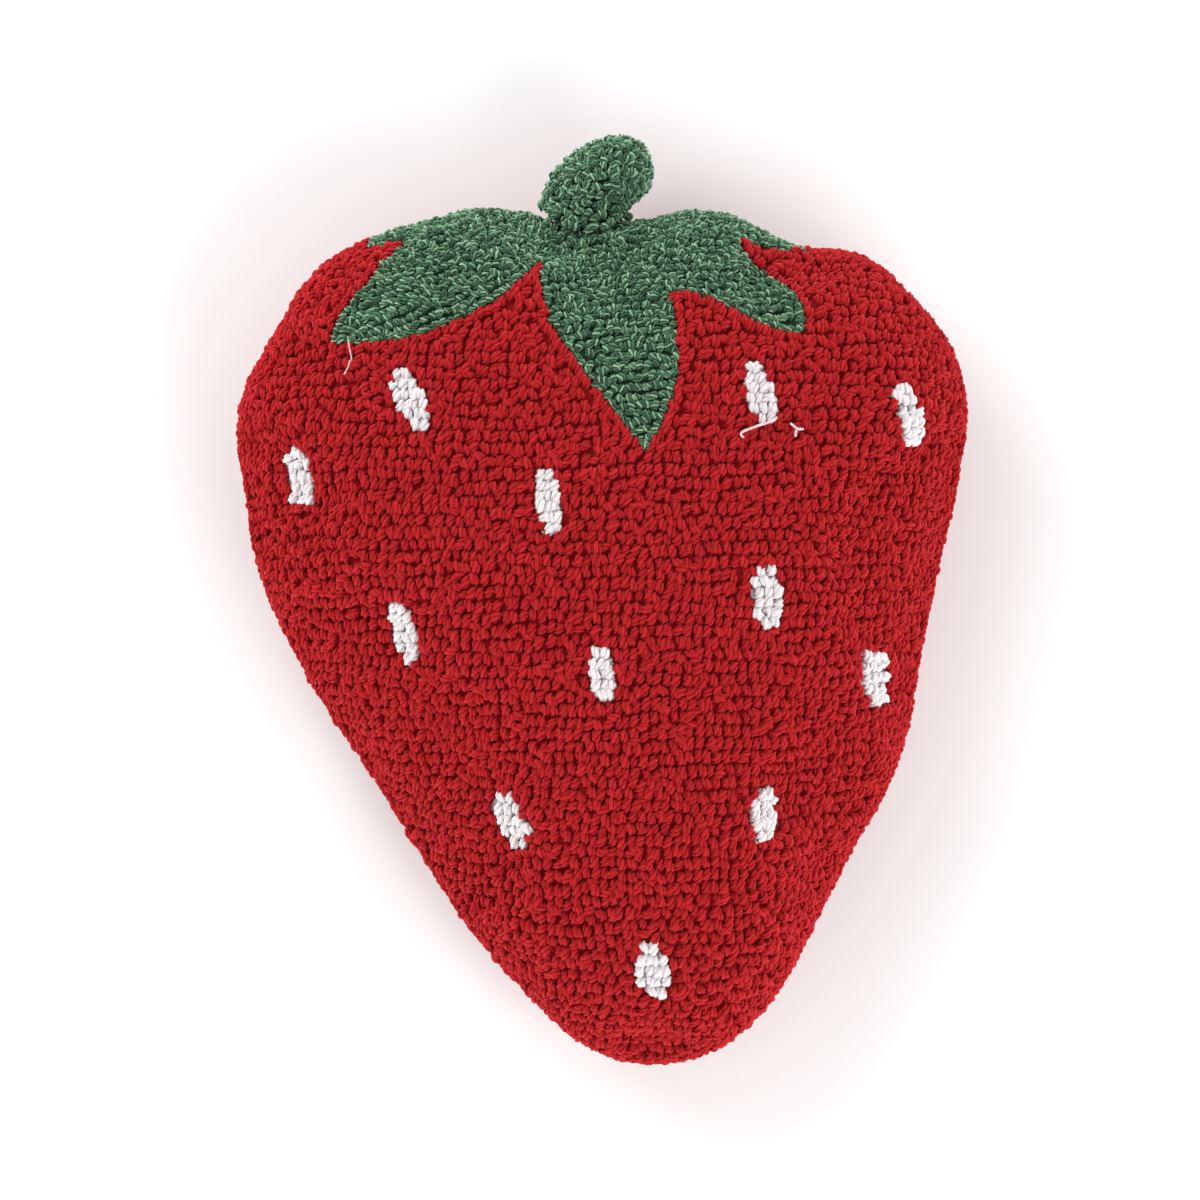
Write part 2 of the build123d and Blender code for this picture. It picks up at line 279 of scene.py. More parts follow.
def facing(points):
    """The outward unit normal at each point of a table."""
    around = np.roll(points, -1, 0) - np.roll(points, 1, 0)
    over = np.gradient(points, axis=1)
    normals = unit(np.cross(around, over))
    for pole, z in ((0, -1.0), (-1, 1.0)):
        normals[:, pole] = (0, 0, z)
    return normals


class Cover:
    """The cover, and where a point of the flat canvas comes to lie on it."""

    STEP = 0.5 * MM  # of the tables along the canvas, outwards from the crown

    def __init__(self, points):
        self.points = points
        self.normals = facing(points)
        steps = np.linalg.norm(np.diff(points[:, ::-1], axis=1), axis=2)
        self.arc = np.concatenate([np.zeros((AROUND, 1)), np.cumsum(steps, 1)], 1)
        self.phi = np.linspace(pi / 2, -pi / 2, OVER)
        self.edge = np.array([np.interp(0, -self.phi, a) for a in self.arc])
        self.reach = np.arange(0, self.edge.max() + 10 * MM, self.STEP)
        self.turn = np.array([np.interp(self.reach, a, self.phi) for a in self.arc])

    def look_up(self, table, column, row):
        """The table's value between its columns and rows."""
        i = np.floor(column).astype(int)
        j = np.clip(np.floor(row).astype(int), 0, table.shape[1] - 2)
        a = column - i
        b = row - j
        if table.ndim == 3:
            a, b = a[:, None], b[:, None]
        i, k = i % AROUND, (i + 1) % AROUND
        near = table[i, j] * (1 - b) + table[i, j + 1] * b
        far = table[k, j] * (1 - b) + table[k, j + 1] * b
        return near * (1 - a) + far * a

    def edge_at(self, theta):
        """How far the seam is from the crown along the canvas, in each direction."""
        return self.look_up(np.stack([self.edge, self.edge], 1), theta % (2 * pi) * AROUND / (2 * pi),
                            np.zeros(len(theta)))

    def place(self, flat):
        """Points and normals on the cover for points of the flat canvas."""
        theta = np.arctan2(flat[:, 1], flat[:, 0])
        column = theta % (2 * pi) * AROUND / (2 * pi)
        turn = self.look_up(self.turn, column, np.hypot(*flat.T) / self.STEP)
        row = (turn + pi / 2) / pi * (OVER - 1)
        return self.look_up(self.points, column, row), unit(self.look_up(self.normals, column, row))


ZIP = zip_frame()
cover = Cover(make_cover())


# ---------------------------------------------------------------- loops of yarn
FLAT_TOP = 1.5  # above 1, a loop's top is flatter than a round arch
LOOP_TURN = radians(112)  # from the top of a loop to the end of each leg
SINK = 0.9  # of its height, that a loop's legs go down
LOOP_TONE = 0.5  # how far the tones of loops and of plies spread, and how much of the ramp that takes
PLY_TONE = 0.6
TONE_SPREAD = 0.16


def ringed(middle, side, up, radius, sides):
    """Points of a ring about each point of a line, one ring after the other."""
    turn = np.arange(sides) * 2 * pi / sides
    around = np.cos(turn)[None, :, None] * side[:, None] + np.sin(turn)[None, :, None] * up[:, None]
    return (middle[:, None] + radius * around).reshape(-1, 3)


def tube_faces(rings, sides, closed=False):
    """Quads between each ring of a tube and the next."""
    faces = []
    for i in range(rings if closed else rings - 1):
        low, high = i * sides, (i + 1) % rings * sides
        for j in range(sides):
            k = (j + 1) % sides
            faces.append((low + j, low + k, high + k, high + j))
    return np.array(faces)


def loop_form(span, height, thickness, twist, phase, lean, share, plies=4, rings=8, sides=5):
    """One loop of plied yarn that stands on the origin, with its top along X.

    Each ply's radius is a share of the yarn's thickness: a low share shows the plies apart.
    Returns points, quads, and for each point its place along and around the ply and which ply it is.
    """
    ply_radius = thickness * share
    offset = thickness / 2 - ply_radius
    turn = np.linspace(-LOOP_TURN, LOOP_TURN, rings)
    drop = (1 - np.cos(turn)) ** FLAT_TOP
    top = height - thickness / 2
    path = np.stack([span * np.sin(turn), lean * np.cos(turn), top - SINK * top * drop / drop.max()], 1)
    ahead = unit(np.gradient(path, axis=0))
    side = np.tile([0.0, 1.0, 0.0], (rings, 1))
    up = np.cross(ahead, side)
    around_ply = np.arange(sides) * 2 * pi / sides
    verts, faces, marks = [], [], []
    for ply in range(plies):
        wind = phase + twist * turn + 2 * pi * ply / plies
        middle = path + offset * (np.cos(wind)[:, None] * side + np.sin(wind)[:, None] * up)
        ring = ringed(middle, side, up, ply_radius, sides)
        faces.append(tube_faces(rings, sides) + len(verts) * rings * sides)
        verts.append(ring)
        marks.append(np.stack(
            [np.repeat(turn, sides), np.tile(around_ply, rings), np.full(rings * sides, ply)], 1))
    return np.concatenate(verts), np.concatenate(faces), np.concatenate(marks)


def lay_loops(name, spots, forms, contrast):
    """A mesh of one loop for each spot: (place, normal, along, size), with a tone for each ply.

    The contrast is how much lighter every other ply is.
    """
    places, normals, alongs, sizes = spots
    count = len(places)
    picked = rng.integers(0, len(forms), count)
    side = unit(np.cross(normals, alongs))
    along = np.cross(side, normals)
    axes = np.stack([along, side, normals], 1) * sizes[:, None, None]
    per, quads = len(forms[0][0]), forms[0][1]
    shapes = np.stack([f[0] for f in forms])[picked]
    verts = np.einsum("nvi,nij->nvj", shapes, axes) + places[:, None]
    faces = (quads[None] + (np.arange(count) * per)[:, None, None]).reshape(-1, 4)
    piece = mesh_object(name, verts.reshape(-1, 3), faces)
    marks = forms[0][2]
    loop_tone = rng.normal(0, LOOP_TONE, count)
    ply = marks[:, 2].astype(int)
    ply_tone = rng.normal(0, PLY_TONE, (count, ply.max() + 1))
    tone = loop_tone[:, None] + ply_tone[:, ply] + contrast * (ply % 2 - 0.5)
    store(piece, "tone", (0.5 + TONE_SPREAD * tone).ravel())
    # depth is 1 at a loop's top and falls along its legs; the yarn material paints shade from it, darker
    # deeper in the pile.
    store(piece, "depth", np.tile(np.cos(marks[:, 0]) * 0.5 + 0.5, count))
    shift = rng.uniform(0, 40, (count, 1))
    strand = [marks[:, 0] + shift, marks[:, 1] / (2 * pi) + shift * 0.37, np.zeros((count, per))]
    vector = piece.data.attributes.new("strand", "FLOAT_VECTOR", "POINT")
    vector.data.foreach_set("vector", np.stack(strand, -1).astype(np.float32).ravel())
    return piece


def store(piece, name, values):
    """Keeps one number for each point of a piece, for its material to read."""
    layer = piece.data.attributes.new(name, "FLOAT", "POINT")
    layer.data.foreach_set("value", np.asarray(values, np.float32).ravel())


def rows_of(row, step, slope):
    """Points of the flat canvas in slightly wavy rows of a given slope, with each point's heading."""
    reach = cover.edge.max()
    u = np.arange(-reach, reach, step)
    rise = np.cumsum(slope(u)) * step
    spots, headings = [], []
    for number, line in enumerate(np.arange(-1.5 * reach, 1.5 * reach, row)):
        wave = sum(height * row * np.sin(u * pace + number * shift) for height, pace, shift in WAVES)
        v = line + rise + wave + rng.normal(0, row * STRAY_SHARE, len(u))
        along = u + rng.uniform(0, step) + rng.normal(0, step * STRAY_SHARE, len(u))
        spots.append(np.stack([along, v], 1))
        headings.append(np.arctan(slope(along)))
    return np.concatenate(spots), np.concatenate(headings)


def border_of(step):
    """Points of the flat canvas in one row just inside the seam."""
    theta = np.arange(AROUND) * 2 * pi / AROUND
    reach = cover.edge - BORDER
    line, _ = cover.place(np.stack([reach * np.cos(theta), reach * np.sin(theta)], 1))
    gaps = np.linalg.norm(np.roll(line, -1, 0) - line, axis=1)
    travelled = np.concatenate([[0], np.cumsum(gaps)])
    count = int(travelled[-1] / step)
    wanted = np.arange(count) * travelled[-1] / count
    angle = np.interp(wanted, travelled, np.append(theta, 2 * pi))
    far = cover.edge_at(angle) - BORDER + rng.normal(0, 0.25 * MM, count)
    return np.stack([far * np.cos(angle), far * np.sin(angle)], 1)


pile_tree, pile_owner = tree_of(PILE_NODES)
cover_tree = BVHTree.FromPolygons(*[a.tolist() for a in closed_grid(cover.points[::2, ::2])])


def look_down(x, y):
    """The height of the pile's top and the node that it belongs to, or None beside the pile."""
    hit = pile_tree.ray_cast(Vector((x, y, 0.3)), Vector((0, 0, -1)))
    return None if hit[0] is None else (hit[0].z, pile_owner[hit[2]])


def colour_of(place, normal):
    """The CAD pile node that a loop stands in, seen straight from above."""
    tip = place + normal * PILE
    seen = look_down(tip[0], tip[1])
    return seen[1] if seen else pile_owner[pile_tree.find_nearest(Vector(tip))[2]]


def stand_below(tips, headings):
    """Where loops stand on the cover, when their tips are seen from above at these places."""
    places, normals, alongs = [], [], []
    for (x, y), heading in zip(tips, headings):
        seen = look_down(x, y)
        height = seen[0] if seen else SEAM_Z + PILE
        hit = cover_tree.find_nearest(Vector((x, y, height)))
        places.append(hit[0][:])
        normals.append(hit[1][:])
        alongs.append((cos(heading), sin(heading), 0.0))
    return np.array(places), unit(np.array(normals)), np.array(alongs)


def outline_points(step):
    """Points along the calyx's outline, evenly apart, and which way its red side lies."""
    red, _ = tree_of(["pile_red"])
    mesh = nodes["pile_calyx"].data
    mesh.calc_loop_triangles()
    points, sides = [], []
    for triangle in mesh.loop_triangles:
        corners = [mesh.vertices[i].co for i in triangle.vertices]
        middle = sum(corners, Vector()) / 3
        near = red.find_nearest(middle, 0.3 * MM)
        if abs(triangle.normal.z) > 0.02 or near[0] is None or middle.z < SEAM_Z + 0.2 * MM:
            continue
        flat = [np.array(c[:2]) for c in corners]
        edges = [(np.linalg.norm(a - b), a, b) for a in flat for b in flat]
        length, start, end = max(edges, key=lambda edge: edge[0])
        for share in np.linspace(0, 1, int(length / FINE) + 2):
            points.append(start * (1 - share) + end * share)
            sides.append(triangle.normal[:2])
    points, sides = np.array(points), unit(np.array(sides))
    far = np.full(len(points), np.inf)
    chosen = [int(np.argmax(points[:, 1]))]
    while True:
        far = np.minimum(far, np.linalg.norm(points - points[chosen[-1]], axis=1))
        open_ones = np.flatnonzero(far >= step)
        if not len(open_ones):
            return points[chosen], sides[chosen]
        chosen.append(int(open_ones[np.argmin(far[open_ones])]))


def seed_tips(node):
    """Tips of a seed's loops, in short rows across its outline."""
    low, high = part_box(node)
    tips = []
    length = high.y - low.y - 2 * SEED_MARGIN
    rows = max(2, round(length / WHITE_ROW))
    for number in range(rows):
        y = low.y + SEED_MARGIN + length / rows * (number + 0.5)
        inside = [x for x in np.arange(low.x, high.x, FINE) if (look_down(x, y) or (0, ""))[1] == node]
        if not inside:
            continue
        width = inside[-1] - inside[0]
        count = max(1, round((width + 2 * FINE) / WHITE_STEP))
        for k in range(count):
            tips.append((inside[0] + width * (k + 0.5) / count, y))
    return np.array(tips) + rng.normal(0, 0.25 * MM, (len(tips), 2))


def loosened(places, normals, along, yaw, tilt):
    """Spots whose loops are turned and leant a little at random."""
    count = len(places)
    turn = (rng.normal(0, 1, count) * yaw)[:, None]
    side = unit(np.cross(normals, along))
    along = np.cross(side, normals)
    turned = along * np.cos(turn) + side * np.sin(turn)
    leant = unit(normals + along * rng.normal(0, tilt, (count, 1)) + side * rng.normal(0, tilt, (count, 1)))
    return places, leant, turned, rng.normal(1, 0.05, count)


def lifted(places, normals, tree, reach):
    """Loops near another surface stand higher and lean away from it, so that the pile runs on across."""
    places, normals = places.copy(), normals.copy()
    for index, (place, normal) in enumerate(zip(places, normals)):
        hit = tree.find_nearest(Vector(place + normal * PILE), reach)
        if hit[0] is not None:
            near = (reach - hit[3]) / reach
            normals[index] = unit(normal + np.array(hit[1]) * near * 0.8)
            places[index] = place + normals[index] * near * near * reach / 4
    return places, normals


STEM_TREE, _ = tree_of(["pile_stem"])


class Hooking:
    """All the loops of the face so far: where they stand, and in which CAD node."""

    def __init__(self):
        self.spots = None
        self.labels = np.array([], dtype="<U12")

    def tips(self):
        return self.spots[0] + self.spots[1] * PILE

    def add(self, spots, labels):
        self.spots = spots if self.spots is None else joined(self.spots, spots)
        self.labels = np.concatenate([self.labels, labels])

    def clear_of(self, places, normals, least):
        """Which of the places are at least so far from every loop that is there already."""
        if self.spots is None:
            return np.ones(len(places), bool)
        near = tree_of_points(self.tips())
        tips = places + normals * PILE
        return np.array([near.find(t)[2] > least for t in tips])

    def rows(self, node, row, step, slope, across, least, yaw, tilt):
        """Rows of loops wherever a node isn't hooked yet, across their rows or along them."""
        flat, headings = rows_of(row, step, slope)
        theta = np.arctan2(flat[:, 1], flat[:, 0])
        inside = np.hypot(*flat.T) < cover.edge_at(theta) - BORDER - 0.5 * RED_STEP
        flat, headings = flat[inside], headings[inside]
        places, normals = cover.place(flat)
        ahead, _ = cover.place(flat + np.stack([np.cos(headings), np.sin(headings)], 1) * MM)
        along = unit(ahead - places)
        places, normals = lifted(places, normals, STEM_TREE, STEM_BLEND)
        if across:
            along = unit(np.cross(normals, along))
        labels = np.array([colour_of(p, n) for p, n in zip(places, normals)])
        keep = (labels == node) & self.clear_of(places, normals, least)
        turn = np.where(labels == "pile_calyx", yaw + crown_share(places) * 1.2, yaw)[keep]
        self.add(loosened(places[keep], normals[keep], along[keep], turn, tilt), labels[keep])

    def mend(self):
        """More loops in the gaps: wherever no loop is nearer than its colour's gap."""
        reach = cover.edge.max()
        line = np.arange(-reach, reach, 1.4 * MM)
        flat = np.stack(np.meshgrid(line, line), -1).reshape(-1, 2)
        theta = np.arctan2(flat[:, 1], flat[:, 0])
        flat = flat[np.hypot(*flat.T) < cover.edge_at(theta) - BORDER - 0.3 * RED_STEP]
        places, normals = lifted(*cover.place(flat), STEM_TREE, STEM_BLEND)
        tips = places + normals * PILE
        near = tree_of_points(self.tips())
        far = np.array([near.find(t)[2] for t in tips])
        picked, labels = [], []
        for index in np.argsort(-far):
            if far[index] < GREEN_GAP:
                break
            label = colour_of(places[index], normals[index])
            gap = GREEN_GAP if label == "pile_calyx" else RED_GAP
            if far[index] >= gap and all(np.sum((tips[index] - tips[k]) ** 2) > gap**2 for k in picked):
                picked.append(index)
                labels.append(label)
        along = unit(np.cross(normals[picked], np.tile([0.2, 1.0, 0.0], (len(picked), 1))))
        self.add(loosened(places[picked], normals[picked], along, 0.7, 0.12), labels)


def tree_of_points(points):
    tree = KDTree(len(points))
    for index, point in enumerate(points):
        tree.insert(point, index)
    tree.balance()
    return tree


def taken(spots, keep):
    return tuple(part[keep] for part in spots)


def joined(one, other):
    return tuple(np.concatenate([a, b]) for a, b in zip(one, other))


def crown_share(places):
    """From 0 on the leaves to 1 around the stem, where the loops turn every way."""
    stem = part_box("pile_stem")
    far = np.hypot(places[:, 0] - (stem[0].x + stem[1].x) / 2, places[:, 1] - stem[0].y)
    return np.clip(1.3 - far / (70 * MM), 0, 1)


def green_slope(u):
    """Rows climb to the right in the left and middle leaves, and lie level in the right one."""
    share = np.clip((u + 45 * MM) / (75 * MM), 0, 1)
    return 0.42 * (1 - share * share * (3 - 2 * share))


def hook_face():
    """Lays every loop of the face: outlines and seeds first, then the rows, then the gaps."""
    face = Hooking()
    for node in SEED_NODES:
        tips = seed_tips(node)
        spots = stand_below(tips, np.full(len(tips), pi / 2))
        face.add(loosened(*spots, 0.45, 0.1), np.full(len(tips), node))
    points, sides = outline_points(3.7 * MM)
    for label, away in (("pile_calyx", -BESIDE), ("pile_red", BESIDE + 0.2 * MM)):
        tips = points + sides * (away + rng.normal(0, 0.35 * MM, (len(points), 1)))
        clear = [(look_down(x, y) or (0, label))[1] == label for x, y in tips]
        tips = tips[clear]
        heading = np.arctan(green_slope(tips[:, 0])) if label == "pile_calyx" else np.full(len(tips), pi / 2)
        places, normals, along = stand_below(tips, heading)
        free = face.clear_of(places, normals, 3.0 * MM)
        face.add(loosened(places[free], normals[free], along[free], 0.5, 0.08), np.full(free.sum(), label))
    places, normals = lifted(*cover.place(border_of(3.9 * MM)), STEM_TREE, STEM_BLEND)
    along = unit(np.roll(places, -1, 0) - places)
    free = face.clear_of(places, normals, 2.8 * MM)
    labels = np.array([colour_of(p, n) for p, n in zip(places, normals)])
    face.add(loosened(places[free], normals[free], along[free], 0.3, 0.1), labels[free])
    face.rows("pile_calyx", GREEN_ROW, GREEN_STEP, green_slope, False, 2.9 * MM, 0.35, 0.10)
    face.rows("pile_red", RED_ROW, RED_STEP, np.zeros_like, True, 3.5 * MM, 0.45, 0.12)
    face.mend()
    return face


def forms_of(span, height, thickness, twist, share, variants=10):
    """A few different loops of one yarn."""
    forms = []
    for _ in range(variants):
        forms.append(loop_form(
            span * rng.uniform(0.85, 1.15), height * rng.uniform(0.94, 1.04),
            thickness * rng.uniform(0.94, 1.06), twist * rng.uniform(0.85, 1.15), rng.uniform(0, 2 * pi),
            rng.uniform(-0.25, 0.25) * thickness, share,
        ))
    return forms


RED_FORMS = forms_of(1.8 * MM, 5.5 * MM, 4.6 * MM, 1.0, 0.22)
GREEN_FORMS = forms_of(1.0 * MM, 5.2 * MM, 3.9 * MM, 1.4, 0.165)
WHITE_FORMS = forms_of(1.7 * MM, 5.9 * MM, 5.4 * MM, 0.8, 0.24)

face = hook_face()


# ---------------------------------------------------------------- materials
def feed(socket, value):
    """Links another node's socket to this one, or gives it a value."""
    if isinstance(value, bpy.types.NodeSocket):
        socket.id_data.links.new(value, socket)
    else:
        socket.default_value = value


def adder(tree):
    """A helper that adds nodes to a tree."""
    def add(kind, *values, **settings):
        """A new node with its first sockets, then its other sockets or settings by name."""
        node = tree.nodes.new(kind)
        sockets = {}
        for key, value in settings.items():
            if key.replace("_", " ") in node.inputs:
                sockets[key.replace("_", " ")] = value
            else:
                setattr(node, key, value)
        for socket, value in zip(node.inputs, values):
            feed(socket, value)
        for key, value in sockets.items():
            feed(node.inputs[key], value)
        return node
    return add


def new_material(name, roughness, sheen=0.0, sheen_tint=(1, 1, 1), specular=0.15, metallic=0.0):
    """A node material, a helper that adds nodes to it, and one that links its colour and its bump."""
    material = bpy.data.materials.new(name)
    material.use_nodes = True
    add = adder(material.node_tree)
    shader = material.node_tree.nodes["Principled BSDF"]
    for key, value in (("Roughness", roughness), ("Specular IOR Level", specular), ("Metallic", metallic),
                       ("Sheen Weight", sheen), ("Sheen Roughness", 0.45), ("Sheen Tint", (*sheen_tint, 1))):
        shader.inputs[key].default_value = value

    def surface(colour, height, strength, distance):
        bump = add("ShaderNodeBump", Strength=strength, Distance=distance, Height=height)
        feed(shader.inputs["Base Color"], colour)
        feed(shader.inputs["Normal"], bump.outputs["Normal"])
        return material

    return material, shader, add, surface


def ramp_of(add, value, stops):
    """The colour at a value between (place, colour) stops."""
    ramp = add("ShaderNodeValToRGB", value)
    elements = ramp.color_ramp.elements
    while len(elements) < len(stops):
        elements.new(0.5)
    for element, (place, colour) in zip(elements, stops):
        element.position = place
        element.color = (*colour, 1)
    return ramp.outputs["Color"]


def yarn_material(name, dark, middle, light, sheen, tint, fibre=0.5, painted_shade_min=0.7):
    """Plied yarn: a tone for each ply, fibres along it, and painted shade that dims it towards the legs of
    each loop, deep in the pile.
    """
    _, _, add, surface = new_material(name, 0.85, sheen, tint)
    tone, depth = (add("ShaderNodeAttribute", attribute_name=n).outputs["Fac"] for n in ("tone", "depth"))
    strand = add("ShaderNodeAttribute", attribute_name="strand").outputs["Vector"]
    stretch = add("ShaderNodeMapping", Vector=strand, Scale=(2.2, 14.0, 1.0)).outputs["Vector"]
    fibres = add("ShaderNodeTexNoise", Vector=stretch, Scale=1.0, Detail=3.0, Roughness=0.7).outputs["Fac"]
    mixed = add("ShaderNodeMath", fibres, fibre, tone, operation="MULTIPLY_ADD").outputs[0]
    centred = add("ShaderNodeMath", mixed, fibre * 0.5, operation="SUBTRACT").outputs[0]
    dye = ramp_of(add, centred, [(0.2, dark), (0.5, middle), (0.8, light)])
    # Painted shade: the dye is dimmed from the top of each loop towards its legs, deep in the pile, down to
    # the least brightness given to the yarn.
    shade = add("ShaderNodeMapRange", Value=depth, From_Min=0.25, From_Max=0.9, To_Min=painted_shade_min).outputs["Result"]
    dim = add("ShaderNodeVectorMath", dye, operation="SCALE", Scale=shade).outputs["Vector"]
    return surface(dim, fibres, 0.4, 0.3 * MM)


# After the sheen and its tint come the fibre contrast and the least brightness of the painted shade deep in
# the pile; the green yarn keeps the default shade.
RED_YARN = yarn_material(
    "red_yarn", (0.32, 0.0055, 0.0075), (0.375, 0.008, 0.011), (0.43, 0.012, 0.015),
    0.9, (1.0, 0.10, 0.11), 0.5, 0.8)
GREEN_YARN = yarn_material(
    "green_yarn", (0.018, 0.058, 0.030), (0.060, 0.150, 0.078), (0.24, 0.40, 0.25),
    0.8, (0.6, 1.0, 0.68), 0.7)
WHITE_YARN = yarn_material(
    "white_yarn", (0.68, 0.63, 0.64), (0.71, 0.665, 0.675), (0.74, 0.70, 0.71), 0.2, (1, 1, 1), 0.3, 0.95)


def ground_material():
    """The foundation that shows deep between the loops, in the colour of the yarn around it."""
    _, _, add, surface = new_material("pile_ground", 0.95)
    dye = (0.33, 0.007, 0.010, 1)
    for layer, colour in (("green", (0.018, 0.055, 0.030)), ("white", (0.66, 0.60, 0.60))):
        share = add("ShaderNodeAttribute", attribute_name=layer).outputs["Fac"]
        crisp = add("ShaderNodeMapRange", Value=share, From_Min=0.6).outputs["Result"]
        mix = add("ShaderNodeMix", data_type="RGBA", A=dye, B=(*colour, 1), Factor=crisp)
        dye = mix.outputs["Result"]
    noise = add("ShaderNodeTexNoise", Scale=900.0, Detail=2.0).outputs["Fac"]
    return surface(dye, noise, 0.6, 0.4 * MM)


def velvet_material():
    """Short-pile velveteen with a soft lay to its nap."""
    _, _, add, surface = new_material("velveteen", 0.9, 0.9, (1.0, 0.25, 0.3))
    place = add("ShaderNodeNewGeometry").outputs["Position"]
    lay = add("ShaderNodeTexNoise", Vector=place, Scale=32.0, Detail=6.0, Roughness=0.72).outputs["Fac"]
    nap = add("ShaderNodeTexNoise", Vector=place, Scale=900.0, Detail=5.0, Roughness=0.7).outputs["Fac"]
    dye = ramp_of(add, lay, [(0.36, (0.12, 0.003, 0.007)), (0.64, (0.29, 0.008, 0.018))])
    return surface(dye, nap, 0.7, 0.8 * MM)


def woven_material(name, dark, light, pitch, roughness=0.85):
    """A plain weave at a given pitch, laid along the row frame's axes."""
    _, _, add, surface = new_material(name, roughness, 0.2)
    place = add("ShaderNodeNewGeometry").outputs["Position"]
    threads = []
    for axis in ("X", "Y"):
        wave = add("ShaderNodeTexWave", Vector=place, Scale=0.1 / pitch, bands_direction=axis, Distortion=0.6)
        threads.append(wave.outputs["Fac"])
    both = add("ShaderNodeMath", *threads, operation="MULTIPLY").outputs[0]
    return surface(ramp_of(add, both, [(0.0, dark), (1.0, light)]), both, 0.4, pitch * 0.3)


def speckled_material(name, dark, light, scale, roughness, metallic=0.0):
    """A plain surface with fine mottling, for metal, nylon, thread and fibre."""
    _, _, add, surface = new_material(name, roughness, specular=0.5, metallic=metallic)
    place = add("ShaderNodeNewGeometry").outputs["Position"]
    noise = add("ShaderNodeTexNoise", Vector=place, Scale=scale, Detail=4.0).outputs["Fac"]
    return surface(ramp_of(add, noise, [(0.35, dark), (0.65, light)]), noise, 0.15, 0.05 * MM)


GROUND = ground_material()
VELVET = velvet_material()
LINING = woven_material("cotton_lining", (0.62, 0.60, 0.55), (0.86, 0.84, 0.80), 0.5 * MM)
TAPE = woven_material("zip_tape", (0.16, 0.004, 0.008), (0.34, 0.012, 0.020), 0.45 * MM)
SATIN = woven_material("label_satin", (0.50, 0.49, 0.46), (0.66, 0.65, 0.62), 0.5 * MM, 0.4)
BRASS = speckled_material("antique_brass", (0.36, 0.26, 0.13), (0.62, 0.47, 0.26), 900.0, 0.36, 1.0)
NYLON = speckled_material("red_nylon", (0.26, 0.006, 0.012), (0.42, 0.018, 0.028), 700.0, 0.38)
THREAD = speckled_material("red_thread", (0.28, 0.006, 0.012), (0.44, 0.020, 0.030), 1500.0, 0.6)
FIBRE = speckled_material("polyester_fibre", (0.78, 0.78, 0.76), (0.92, 0.92, 0.90), 260.0, 0.9)
STRAY = speckled_material("stray_yarn", (0.52, 0.36, 0.36), (0.70, 0.60, 0.61), 1200.0, 0.8)


def dress(piece, material, slot, *replaced):
    """Gives a piece its material and its body, and hides the CAD nodes that it stands for. The slot is not
    used.
    """
    piece.data.materials.clear()
    piece.data.materials.append(material)
    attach(piece, "pillow")
    if replaced:
        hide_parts(*replaced)
    return piece


# ---------------------------------------------------------------- hooked pile
RED_PATCHES = 12  # strips that the loops are shared out over, so that no piece has too many faces
GREEN_PATCHES = 4
RED_CONTRAST = 0.4  # between the plies of a yarn
GREEN_CONTRAST = 2.2
WHITE_CONTRAST = 0.2


def make_pile():
    """All the hooked pieces of the face."""
    for node, axis, count, forms, contrast, yarn, slot in (
            ("pile_red", 1, RED_PATCHES, RED_FORMS, RED_CONTRAST, RED_YARN, "red_yarn"),
            ("pile_calyx", 0, GREEN_PATCHES, GREEN_FORMS, GREEN_CONTRAST, GREEN_YARN, "green_yarn")):
        low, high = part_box(node)
        share = (face.spots[0][:, axis] - low[axis]) / (high[axis] - low[axis])
        patch = np.clip((share * count).astype(int), 0, count - 1)
        for number in range(count):
            chosen = (face.labels == node) & (patch == number)
            piece = lay_loops(f"{node}_rows_{number + 1}", taken(face.spots, chosen), forms, contrast)
            dress(piece, yarn, slot, node)
    for seed in SEED_NODES:
        spots = taken(face.spots, face.labels == seed)
        dress(lay_loops(f"{seed}_loops", spots, WHITE_FORMS, WHITE_CONTRAST), WHITE_YARN, "white_yarn", seed)


def make_ground():
    """The foundation under the loops, dyed like them."""
    front, normals = cover.points[::2, EQUATOR:], cover.normals[::2, EQUATOR:]
    piece = shell_object("pile_ground", front + normals * 1.2 * MM, front - normals * 0.2 * MM)
    labels = [colour_of(p, np.array([0, 0, 1.0])) for p in points_of(piece)]
    store(piece, "green", [float(n == "pile_calyx") for n in labels])
    store(piece, "white", [float(n in SEED_NODES) for n in labels])
    dress(piece, GROUND, "canvas", "front_canvas")


def shell_object(name, outer, inner):
    """A thin closed shell from two tables of points whose last column is a pole."""
    around, over = outer.shape[:2]
    sheet = outer[:, :-1].transpose(1, 0, 2).reshape(-1, 3)
    back = inner[:, :-1].transpose(1, 0, 2).reshape(-1, 3)
    verts = np.concatenate([sheet, back, outer[:, -1].mean(0)[None], inner[:, -1].mean(0)[None]])
    deep = len(sheet)
    last = (over - 2) * around
    outside = bands(over - 1, around)
    i = np.arange(around)
    k = (i + 1) % around
    rim = [np.stack([k, i, deep + i], 1), np.stack([k, deep + i, deep + k], 1)]
    return mesh_object(name, verts, np.concatenate([
        outside, deep + outside[:, ::-1], fan(last, around, len(verts) - 2),
        fan(deep + last, around, len(verts) - 1)[:, [1, 0, 2]], *rim]))


make_pile()
make_ground()


# ---------------------------------------------------------------- stem
STEM_GAP = 3.3 * MM  # between the tips of the loops


